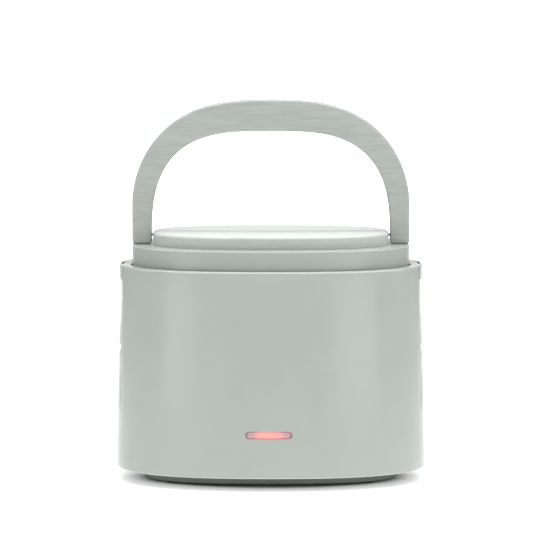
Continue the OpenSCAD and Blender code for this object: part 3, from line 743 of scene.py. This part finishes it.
def build_inside():
    a, b = 102.0, 60.0
    chain = [(13.4, 32, 0.5), (0, 32, 3.0), (0, 152, 0.4), (-5.3, 152, 0.4), (-5.3, 158.7, 0.3)]
    rings = ovals(rounded([(13.4, 34, 0)] + chain + [(-6.0, 158.7, 0)], steps=4)[1:-1], a, b)
    rings += [oval(110.6, 65.6, 158.7), oval(110.6, 65.6, LEDGE_Z)]
    rings += ovals(rounded([(-6.0, LEDGE_Z, 0), (-3.4, LEDGE_Z, 0.3), (-3.4, 154, 0.4), (2.0, 154, 0.6), (2.0, 34, 5.0), (13.4, 34, 0.4), (13.4, 32, 0)], steps=5)[1:-1], a, b)
    liner = skin("tub", rings, closed=True)
    cut(liner, block("end_r", (91, -SLOT_W - 2.8, 146), (121, SLOT_W + 2.8, 166)), block("end_l", (-121, -SLOT_W - 2.8, 146), (-91, SLOT_W + 2.8, 166)))
    soften(liner, 0.25, angle=50, segments=2, keep=lambda p: p.z > 145)
    done(liner, "base", M_LINER, "liner", "inner_liner")

    z = 26.0
    chain = [(84.4, z, 2.0), (87.4, z + 1.0, 1.6), (87.8, z + 8.8, 0.5), (93.0, z + 8.8, 0.4), (93.0, z + 10, 0.4),
             (86.4, z + 10, 1.4), (85.6, z + 2.4, 2.4), (83.0, z + 1.5, 0)]
    pts = rounded([(70.0, z, 0)] + chain, steps=5)
    pan = skin("water_pan", [oval(u, u - 42, v) for u, v in pts])
    for x in (-54, -18, 18, 54):
        join(pan, block("rib", (x - 1.5, -24, z + 1), (x + 1.5, 24, z + 4), 0.9))
    done(pan, "base", M_PAN, "pan", "heating_pan")

    seal = skin("pan_ring", ovals(rounded([(0, 34.0, 0.3), (0, 34.8, 0.3), (3.6, 34.8, 0.3), (3.6, 34.0, 0.3)], closed=True), 92.6, 50.6), closed=True)
    done(seal, "base", M_PANSEAL, "pan_seal", "pan_seal")

    heater = block("heater_block", (-30, -17, z - 6.2), (30, 17, z), 0.8)
    grooves = [block("groove", (-31, y - 0.7, z - 7), (31, y + 0.7, z - 5.2)) for y in (-13, -10.5, 10.5, 13)]
    cut(heater, *grooves)
    done(heater, "base", M_HEATER, "heater", "ptc_heater")

    for name, route, r, mat, slot in (
        ("live_wire", [(-4.3, 54.7, 22.5), (-4.3, 51, 22.5), (-5.5, 47, 21), (-9, 43, 16), (-17, 36, 11), (-30, 25, 9), (-44, 13, 8.6),
                       (-53, 5, 9), (-57.5, 1, 11), (-58.5, 0, 13), (-58.5, 0, 14.6)], 1.1, M_BROWN, "brown_wire"),
        ("neutral_wire", [(4.3, 54.7, 22.5), (4.3, 51, 22.5), (5.5, 47, 21), (9, 43, 16), (18, 37, 11), (32, 29, 9), (46, 22, 9.4),
                          (53, 18, 13), (55.6, 14, 19), (56, 10.6, 23.2), (56, 7.2, 24)], 1.1, M_BLUE, "blue_wire"),
        ("thermostat_lead", [(-65.5, 0, 14.4), (-65.5, -0.6, 12.6), (-64, -4, 9.6), (-57, -9, 8.4), (-47, -13, 9.4), (-39, -13.5, 14),
                             (-34.6, -12.6, 20), (-32.6, -12, 22.6), (-30.2, -12, 22.9)], 1.1, M_BROWN, "brown_wire"),
        ("fuse_lead", [(56, -7.2, 24), (56, -10.6, 23.2), (53, -13.4, 19), (46, -14, 16), (39, -13.6, 17), (34.6, -12.6, 21),
                       (32.6, -12, 22.6), (30.2, -12, 22.9)], 1.1, M_BLUE, "blue_wire"),
    ):
        done(tube(name + "_run", route, r), "base", mat, slot, name)
    pair = []
    for s in (-1, 1):
        pair.append(tube("led_run", [(LIGHT_X + s * 3, -64.2, 38.3), (LIGHT_X + s * 3, -64.2, 34), (LIGHT_X + s * 3, -62.6, 30), (s * 5, -56, 26),
                                     (s * 9, -44, 20), (s * 14, -32, 15), (s * 19, -23, 15), (s * 22, -18.6, 19), (s * 22, -18.3, 22.2), (s * 22, -17.4, 22.8)], 0.6, 10))
    join(pair[0], pair[1])
    pair[0].name = "led_wire_runs"
    done(pair[0], "base", M_RED, "red_wire", "led_wires")


# ------------------------------------------------------------------ power inlet and light bar

def build_ports():
    inlet = slab_y("inlet", 34, 14, 1.7, 67.7, 69.7, 0, INLET_Z, 0.5)
    add(inlet, slab_y("inlet_body", 24, 12, 0.8, 56, 68.2, 0, INLET_Z))
    tools = [pill("socket", 18.6, 8.8, 58.5, 72, 0, INLET_Z)]
    for s in (-1, 1):
        tools.append(cylinder("pin_way", 1.2, (s * 4.3, 54, INLET_Z), (s * 4.3, 60, INLET_Z), 32))
        tools.append(cylinder("screw_way", 1.2, (s * 14.4, 65, INLET_Z), (s * 14.4, 71, INLET_Z), 32))
        cone = [[(s * 14.4 + r * math.cos(2 * math.pi * j / 48), y, INLET_Z + r * math.sin(2 * math.pi * j / 48)) for j in range(48)]
                for r, y in ((1.15, 68.4), (2.5, 69.72), (2.5, 71))]
        tools.append(skin("sink", cone))
    cut(inlet, *tools)
    soften(inlet, 0.3, angle=50, segments=3, keep=lambda p: p.y > 69.2 and abs(p.x) < 10)
    done(inlet, "base", M_INLET, "inlet", "power_inlet")

    lens = skin("light_bar", [pill_ring(34.4 - 2 * u, 5.3 - 2 * u, y, LIGHT_X, LIGHT_Z) for u, y in
                              rounded([(2.0, -69.8, 0), (0, -69.8, 0.9), (0, -66.8, 0)], steps=5)]
                + [pill_ring(38.4, 8.6, -66.8, LIGHT_X, LIGHT_Z), pill_ring(38.4, 8.6, -65.6, LIGHT_X, LIGHT_Z)])
    done(lens, "base", M_LENS, "lens", "indicator_lens")


# ------------------------------------------------------------------ lid

def build_lid():
    a, b = LID_A, LID_B
    out = rounded([(12, LID_Z, 0), (0, LID_Z, 1.35), (0, 166, 0), (0, 154.6, 0.5), (2.2, 154.6, 0.5), (2.2, 175.8, 0.8), (12, 175.8, 0)], steps=6)[1:-1]
    cover = skin("lid_lower_tier", [oval(a - u, b - u, z) for u, z in out])
    posts = [(sx * 66, sy * 34) for sx in (-1, 1) for sy in (-1, 1)] + [(0, 44), (0, -44)]
    for x, y in posts:
        add(cover, cylinder("post", 3.6, (x, y, 166), (x, y, 177), 32))
    for s in (-1, 1):
        lug = cylinder("lug", 2.9, (s * PIVOT_X, -7, PIVOT_Z), (s * PIVOT_X, 7, PIVOT_Z), 48)
        x0, x1 = sorted((s * (a - 1.4), s * PIVOT_X))
        neck = block("neck", (x0, -7, PIVOT_Z - 2.6), (x1, 7, PIVOT_Z + 2.899))
        add(lug, neck)
        add(cover, lug)
        cut(cover, cylinder("bore", 1.5, (s * PIVOT_X, -10, PIVOT_Z), (s * PIVOT_X, 10, PIVOT_Z), 40))
    for x, y in posts:
        cut(cover, cylinder("hole", 1.5, (x, y, 160), (x, y, 174), 24))
    soften(cover, 0.3, angle=40, segments=2, keep=lambda p: abs(p.x) > 104 and p.z < 164)
    done(cover, "lid", M_LID_SHADED, "body", "lid_cover")

    a, b = TOP_A, TOP_B
    out = rounded([(12, TOP_Z, 0), (0, TOP_Z, 2.4), (0, LID_Z, 0.25), (2.4, LID_Z, 0), (2.4, 185.8, 0.8), (12, 185.8, 0)], steps=8)[1:-1]
    top = skin("lid_upper_tier", [oval(a - u, b - u, z) for u, z in out])
    for s in (-1, 1):
        x0, x1 = sorted((s * 80, s * 88.0))
        add(top, block("pin_block", (x0, -6.6, LID_Z + 0.02), (x1, 6.6, 186.6)))
        cut(top, cylinder("pin_way", PIN_R + 0.02, (s * 79, 0, HANDLE_PZ), (s * 93, 0, HANDLE_PZ), 40))
    soften(top, 0.2, angle=50, segments=2, keep=lambda p: abs(p.x) > 88)
    done(top, "lid", M_TOP_LIT, "wood_look", "lid_top")

    prof = rounded([(8, 164, 0), (1.9, 164, 1.2), (1.9, 150, 0.4), (0, 150, 0.4), (0, 156.4, 0), (-3.3, 156.4, 0.3), (-3.3, 158.4, 0.3),
                    (0, 158.4, 0), (0, 166, 1.5), (8, 166, 0)], steps=5)[1:-1]
    liner = skin("lid_inner_panel", ovals(prof, 98.9, 56.9))
    for x, y in posts:
        cut(liner, cylinder("hole", 1.7, (x, y, 160), (x, y, 169), 24))
    done(liner, "lid", M_LINER, "liner", "lid_liner")

    seal = rounded([(3.3, 156.4, 0), (0, 156.4, 0.4), (0, 154.15, 0.5), (2.5, 154.15, 0.3), (2.5, 151.5, 0.6), (3.3, 151.5, 0.25)], closed=True, steps=4)
    ring = skin("lid_seal_ring", ovals(seal, 102.2, 60.2), closed=True)
    done(ring, "lid", M_SILICONE, "silicone", "lid_seal")


# ------------------------------------------------------------------ handle

PIN_R = 1.3


def arch(a, z0, top, n, m, t):
    return a * sgn_pow(math.cos(t), 2 / n), z0 + (top - z0) * max(0.0, math.sin(t)) ** (2 / m)


def build_handle():
    """Flat arch with rounded edges. Its two feet are turned round the pivots behind and square in front."""
    half, r, arc = HANDLE_T / 2, 1.75, 6
    stations = []
    # leg below the springing of the outer arch: both sides by height
    inner_x = lambda z: 89.9 * (1 - ((z - 184) / 79.2) ** 2.6) ** (1 / 3.25)
    outer = [(104.5, z) for z in (HANDLE_PZ, 190, 195, 200, 204.5)]
    inner = [(inner_x(z), z) for z in (HANDLE_PZ, 189.5, 194, 198.5, 202.5)]
    z_t = math.asin(((202.5 - 184) / 79.2) ** (2.6 / 2))
    steps = 54
    for k in range(steps + 1):
        w = k / steps
        to = 0.5 * math.pi * (w ** 1.35)
        outer.append(arch(104.5, 208, 287, 2.8, 1.93, to))
        ti = z_t + (0.5 * math.pi - z_t) * (0.04 + 0.96 * w)
        inner.append(arch(89.9, 184, 263.2, 3.25, 2.6, ti))
    outer += [(-x, z) for x, z in reversed(outer[:-1])]
    inner += [(-x, z) for x, z in reversed(inner[:-1])]

    def normals(line):
        out = []
        for i in range(len(line)):
            p, q = Vector(line[max(i - 1, 0)]), Vector(line[min(i + 1, len(line) - 1)])
            d = (q - p).normalized()
            out.append(Vector((d.y, -d.x)))       # to the right of travel
        return out
    no, ni = normals(outer), normals(inner)
    # travel goes from +X over the top to -X: outward is to the right on the outer line
    rings = []
    for (ox, oz), (ix, iz), a, b in zip(outer, inner, no, ni):
        loop = []
        for side in (1, -1):                      # +y half first, outer to inner, then back
            pts = []
            pts.append((ox, 0.0, oz))
            for k in range(arc + 1):
                f = 0.5 * math.pi * k / arc
                inset, y = r * (1 - math.cos(f)), half - r + r * math.sin(f)
                pts.append((ox - a.x * inset, y, oz - a.y * inset))
            for w in (0.25, 0.5, 0.75):
                pts.append(((ox - a.x * r) * (1 - w) + (ix + b.x * r) * w, half, (oz - a.y * r) * (1 - w) + (iz + b.y * r) * w))
            for k in reversed(range(arc + 1)):
                f = 0.5 * math.pi * k / arc
                inset, y = r * (1 - math.cos(f)), half - r + r * math.sin(f)
                pts.append((ix + b.x * inset, y, iz + b.y * inset))
            pts.append((ix, 0.0, iz))
            if side == 1:
                loop += pts
            else:
                loop += [(x, -y, z) for x, y, z in reversed(pts[1:-1])]
        rings.append(loop)
    n, k = len(rings[0]), len(rings)
    m = (n - 2) // 2 + 2                          # points on one half, both poles included
    verts = [p for ring in rings for p in ring]
    faces = []
    for i in range(k - 1):
        for j in range(n):
            q = (j + 1) % n
            faces.append((i * n + j, i * n + q, (i + 1) * n + q, (i + 1) * n + j))
    turn = 48
    for end in (0, k - 1):
        base = end * n
        prev = [base + j for j in range(m)]       # +y half, outer pole to inner pole
        last = [base] + [base + (n - j) % n for j in range(1, m - 1)] + [base + m - 1]
        for s in range(1, turn + 1):
            if s == turn:
                row = last
            else:
                f = math.pi * s / turn
                grow = 1.0 if f < 0.5 * math.pi else (abs(math.cos(f)) ** 12 + math.sin(f) ** 12) ** (-1 / 12)
                row = [prev[0]]
                for j in range(1, m - 1):
                    x, y, z = verts[base + j]
                    row.append(len(verts))
                    verts.append((x, grow * y * math.cos(f), HANDLE_PZ - grow * y * math.sin(f)))
                row.append(prev[m - 1])
            for j in range(m - 1):
                quad = [prev[j], prev[j + 1], row[j + 1], row[j]]
                face = []
                for v in quad:
                    if v not in face:
                        face.append(v)
                faces.append(tuple(face))
            prev = row
    handle = make("carry_handle", verts, faces)
    for s in (-1, 1):
        cut(handle, cylinder("bore", PIN_R + 0.05, (s * 86, 0, HANDLE_PZ), (s * 98.3, 0, HANDLE_PZ), 40))
        cut(handle, cylinder("counterbore", 4.3, (s * 86, 0, HANDLE_PZ), (s * 90.7, 0, HANDLE_PZ), 48))
    return done(handle, "carry_handle", M_HANDLE, "wood_look", "handle")


# ------------------------------------------------------------------ latches

def build_latches():
    outer = [(112.0, 103.1, 0.4), (115.12, 103.1, 0.9), (115.05, 106.0, 0), (114.72, 112.0, 0), (114.3, 119, 0), (113.9, 125.0, 0), (113.58, 130, 0),
             (113.38, 136, 0), (113.3, 142.7, 0), (113.3, 151.9, 0.9), (114.5, 153.25, 0.9), (114.5, 163.6, 1.8), (106.1, 163.6, 0.7)]
    # the head's back is an arc about the hinge axis
    for k in range(9):
        f = math.radians(146 + 8.4 * k)
        outer.append((PIVOT_X + 4.4 * math.cos(f), PIVOT_Z + 4.4 * math.sin(f), 0))
    inner = [(107.4, 156.9, 0.6), (111.9, 155.4, 0.6), (111.9, 153.2, 0.5), (110.5, 151, 0.6), (110.7, 142.7, 0), (112.0, 130, 0)]
    prof = rounded(outer + inner, closed=True, steps=4)
    right = end_plate("latch_right", prof, LATCH_W + 0.15, steps=22, edge=0.30)
    cut(right, cylinder("bore", 1.55, (PIVOT_X, -30, PIVOT_Z), (PIVOT_X, 30, PIVOT_Z), 40),
        cylinder("swing", 3.2, (PIVOT_X, -7.3, PIVOT_Z), (PIVOT_X, 7.3, PIVOT_Z), 64),
        block("slot", (PIVOT_X - 9, -7.3, PIVOT_Z), (PIVOT_X + 3.2, 7.3, PIVOT_Z + 10)),
        block("under", (PIVOT_X - 9, -7.3, PIVOT_Z - 9), (PIVOT_X, 7.3, PIVOT_Z + 1)))
    soften(right, 0.22, angle=45, segments=2, keep=lambda p: p.z > 152 and abs(p.y) < 7.6)
    left = mirror_x(right, "latch_left")
    done(right, "right_side_latch", M_BODY, "body", "right_latch")
    done(left, "left_side_latch", M_BODY, "body", "left_latch")


# ------------------------------------------------------------------ bowls

def build_bowls():
    h = 55.8
    chain = [(72, 0, 0), (77, 0.7, 0), (81, 2.4, 0), (84, 5.4, 0), (86.2, 10, 0), (88, 17, 0), (89.3, 35, 0), (90.4, h - 2, 0)]
    wall = catmull([(u, v) for u, v, _ in chain], 4)
    lip = rounded([(90.4, h - 2, 0), (90.7, h - 1, 0.4), (93.6, h - 1, 0.45), (93.6, h, 0.45), (90.1, h, 0.7), (89.7, h - 2, 0)], steps=4)
    inside = catmull([(89.6, h - 2.4), (88.5, 35), (87.2, 17.2), (85.4, 10.5), (83.3, 6.2), (80.3, 3.3), (76.4, 1.6), (71.5, 0.9)], 4)
    prof = wall[:-1] + lip + inside
    lid = rounded([(60, 2, 0), (94.1, 2, 0.3), (94.1, -2.6, 0.3), (95.5, -2.6, 0.4), (95.5, 4.6, 0.8), (94.7, 5.5, 0.5), (80.6, 5.5, 0.6), (79.8, 4, 0.5), (60, 4, 0)], steps=4)[1:-1]
    seal = rounded([(0, 0.15, 0.3), (0, 2.0, 0.3), (5, 2.0, 0.3), (5, 0.15, 0.3)], closed=True, steps=3)
    for which, z in (("lower", 30.1), ("upper", 90.1)):
        bowl = skin(which + "_food_bowl", [oval(u, u - 42, z + v) for u, v in prof])
        done(bowl, "bowl_" + which, M_BOWL, "bowl", which + "_bowl")
        cap = skin(which + "_food_lid", [oval(u, u - 42, z + h + v) for u, v in lid])
        done(cap, "bowl_" + which + "_lid", M_BOWLLID, "bowl_lid", which + "_bowl_lid")
        ring = skin(which + "_food_seal", ovals([(u, z + h + v) for u, v in seal], 93.6, 51.6), closed=True)
        done(ring, "bowl_" + which + "_lid", M_SILICONE, "silicone", which + "_lid_seal")


build_housing()
build_plinth()
build_inside()
build_ports()
build_lid()
build_handle()
build_latches()
build_bowls()


# ------------------------------------------------------------------ CAD nodes that stay

def dress(name, mat, edge=0.12, angle=35.0):
    """A carried-over CAD node: its own shape, softened edges and a finish."""
    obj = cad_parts[name]
    obj.data.materials.clear()
    obj.data.materials.append(mat)
    for p in obj.data.polygons:
        p.use_smooth = True
    if edge:
        m = obj.modifiers.new("edges", "BEVEL")
        m.limit_method, m.angle_limit, m.width, m.segments = "ANGLE", math.radians(angle), edge * MM, 2
        m.use_clamp_overlap = True
    m = obj.modifiers.new("normals", "WEIGHTED_NORMAL")
    m.keep_sharp = True
    return obj


for name, mat, slot, edge in (
    ("rubber_feet", M_FOOT, "feet", 0.3), ("bottom_screws", M_STEEL, "screws", 0.15), ("heater_clamp", M_SPRING, "clamp", 0.15),
    ("clamp_screws", M_STEEL, "screws", 0.15), ("thermostat", M_PHENOL, "thermostat", 0.25), ("thermal_fuse", M_CERAMIC, "fuse", 0.4),
    ("inlet_pins", M_NICKEL, "pins", 0.3), ("inlet_screws", M_STEEL, "screws", 0.1), ("led_board", M_BOARD, "board", 0.1),
    ("leds", M_LED, "led", 0.12), ("lid_screws", M_STEEL, "screws", 0.15), ("lid_top_screws", M_STEEL, "screws", 0.15),
    ("handle_pins", M_HPIN, "pins", 0.2), ("handle_washers", M_WASHER, "washer", 0.1), ("latch_pins", M_NICKEL, "pins", 0.2),
):
    dress(name, mat, edge)


# ------------------------------------------------------------------ floor, light, camera

GLOW_FOOT, GLOW_NEAR, GLOW_FAR = 0.30, 0.46, 1.00
POOLS = ((-40.0, 8.0, 2.2), (36.0, 9.0, 2.3))    # bearing from straight ahead, half width of the full part, level


def build_stage():
    """Plain pale shooting table: lit a little from below round the object, and more behind it, so that it runs into
    white. Its glow is left out under the object and ramps in round the foot, which paints the soft contact shadow.
    """
    size = 70000.0
    floor = make("floor", [(-size, -size, 0), (size, -size, 0), (size, size, 0), (-size, size, 0)], [(0, 1, 2, 3)])
    m, t, s = material("floor_white", (0.80, 0.80, 0.80), 0.6)
    s.inputs["Specular IOR Level"].default_value = 0.15
    n = noise(t, place(t), 3.0, 2.0)
    t.links.new(blend_colour(t, n, (0.795, 0.795, 0.795), (0.81, 0.81, 0.81)), s.inputs["Base Color"])
    pos = place(t)
    sep = node(t, "ShaderNodeSeparateXYZ")
    t.links.new(pos, sep.inputs["Vector"])
    away = node(t, "ShaderNodeVectorMath", operation="LENGTH")
    t.links.new(pos, away.inputs[0])
    foot = node(t, "ShaderNodeVectorMath", operation="LENGTH")
    t.links.new(place(t, (1 / 0.094, 1 / 0.047, 1.0)), foot.inputs[0])
    # painted shadow: no glow inside the foot's oval and a ramp across the ring round it, shaped to give the soft shadow
    # at the foot
    ring = to_range(t, foot.outputs["Value"], 0.96, 1.22, 0.0, 1.0, "SMOOTHSTEP")
    near = math_node(t, "MULTIPLY", ring, to_range(t, away.outputs["Value"], 0.45, 0.90, GLOW_NEAR, 0.0, "SMOOTHSTEP"))
    aside = math_node(t, "DIVIDE", math_node(t, "ABSOLUTE", sep.outputs["X"]), math_node(t, "MAXIMUM", math_node(t, "ADD", sep.outputs["Y"], 1.2), 0.05))
    behind = math_node(t, "MULTIPLY", to_range(t, sep.outputs["Y"], 0.10, 1.20, 0.0, GLOW_FAR, "SMOOTHSTEP"),
                       to_range(t, aside, 0.22, 0.50, 1.0, 0.0, "SMOOTHSTEP"))
    # light painted on the table just outside that ring, fading further away; it shapes the outer edge of the painted
    # shadow
    close = math_node(t, "MULTIPLY", to_range(t, foot.outputs["Value"], 1.22, 1.45, 0.0, 1.0, "SMOOTHSTEP"),
                      to_range(t, foot.outputs["Value"], 1.50, 3.00, GLOW_FOOT, 0.0, "SMOOTHSTEP"))
    glow = math_node(t, "ADD", math_node(t, "ADD", near, close), behind)
    # two pools of light in front, left and right, outside the picture: the walls of the housing mirror them as soft upright bands
    bearing = math_node(t, "ARCTAN2", sep.outputs["X"], math_node(t, "MULTIPLY", sep.outputs["Y"], -1.0))
    reach = math_node(t, "MULTIPLY", to_range(t, away.outputs["Value"], 0.45, 0.80, 0.0, 1.0, "SMOOTHSTEP"),
                      to_range(t, away.outputs["Value"], 2.20, 3.20, 1.0, 0.0, "SMOOTHSTEP"))
    for middle, full, level in POOLS:
        off = math_node(t, "ABSOLUTE", math_node(t, "SUBTRACT", bearing, math.radians(middle)))
        pool = to_range(t, off, math.radians(full), math.radians(full * 2.1), level, 0.0, "SMOOTHSTEP")
        glow = math_node(t, "ADD", glow, math_node(t, "MULTIPLY", pool, reach))
    # far from the object the table is plain white to look at from any side, without lighting anything
    seen = node(t, "ShaderNodeLightPath")
    plain = to_range(t, away.outputs["Value"], 0.30, 0.70, 0.0, 1.0, "SMOOTHSTEP")
    glow = math_node(t, "ADD", glow, math_node(t, "MULTIPLY", plain, seen.outputs["Is Camera Ray"]))
    s.inputs["Emission Color"].default_value = (1, 1, 1, 1)
    t.links.new(glow, s.inputs["Emission Strength"])
    floor.data.materials.append(m)

    world = bpy.data.worlds.new("studio")
    bpy.context.scene.world = world
    world.use_nodes = True
    w = world.node_tree
    back = w.nodes["Background"]
    back.inputs["Color"].default_value = (1, 1, 1, 1)
    # brightest behind the object, a little light from the right and the front
    look = node(w, "ShaderNodeTexCoord")
    way = node(w, "ShaderNodeSeparateXYZ")
    w.links.new(look.outputs["Generated"], way.inputs["Vector"])
    total = 0.0
    for axis, sign, power, level in (("Y", 1.0, 4.0, 1.05), ("X", 1.0, 2.0, 0.25), ("Y", -1.0, 2.0, 0.13)):
        lobe = math_node(w, "POWER", math_node(w, "MAXIMUM", math_node(w, "MULTIPLY", way.outputs[axis], sign), 0.0), power)
        total = math_node(w, "ADD", math_node(w, "MULTIPLY", lobe, level), total)
    total = math_node(w, "MAXIMUM", total, node(w, "ShaderNodeLightPath").outputs["Is Camera Ray"])
    w.links.new(total, back.inputs["Strength"])


def softbox(name, at, to, width, height, power, colour=(1, 1, 1)):
    light = bpy.data.lights.new(name, "AREA")
    light.shape, light.size, light.size_y = "RECTANGLE", width, height
    light.energy, light.color = power, colour
    obj = bpy.data.objects.new(name, light)
    obj.location = at
    obj.rotation_euler = (Vector(to) - Vector(at)).to_track_quat("-Z", "Y").to_euler()
    bpy.context.scene.collection.objects.link(obj)
    return obj


build_stage()
softbox("overhead", (0.0, 0.0, 1.60), (0, 0, 0.12), 1.2, 1.2, 11.0)
softbox("overhead_left", (-1.1, 0.0, 1.20), (0, 0, 0.12), 0.4, 1.2, 7.0)
softbox("overhead_right", (1.1, 0.0, 1.20), (0, 0, 0.12), 0.4, 1.2, 7.5)
softbox("strip_back", (0.0, 0.1, 1.20), (0, 0, 0.12), 1.7, 0.20, 5.5)
softbox("strip_middle", (0.0, -0.3, 1.20), (0, 0, 0.12), 1.7, 0.20, 4.8)
softbox("strip_front", (0.0, -0.7, 1.20), (0, 0, 0.12), 1.7, 0.20, 2.9)
softbox("low_front", (0.0, -1.7, 0.16), (0, 0, 0.05), 1.6, 0.2, 2.6)


def upright(name, azimuth, width, power):
    """Tall softbox 1.5 m away; azimuth 0 is straight in front, plus is to the right."""
    f = math.radians(azimuth)
    softbox(name, (1.5 * math.sin(f), -1.5 * math.cos(f), 0.55), (0, 0, 0.12), width, 1.0, power)


upright("left", -39.0, 0.36, 1.0)
upright("right", 34.0, 0.40, 1.0)
upright("far_right", 75.0, 0.22, 0.5)

camera = bpy.data.cameras.new("camera")
camera.sensor_width = 36.0
camera.lens = 36.0 * 2913 / 540
cam = bpy.data.objects.new("camera", camera)
bpy.context.scene.collection.objects.link(cam)
cam.location = (-0.00064, -2.190, 0.3996)
cam.rotation_euler = (math.radians(90 - 6.297), 0, 0)
bpy.context.scene.camera = cam

view = bpy.context.scene.view_settings
view.view_transform = "Standard"
view.look = "None"
view.exposure = 0.0
view.gamma = 1.0
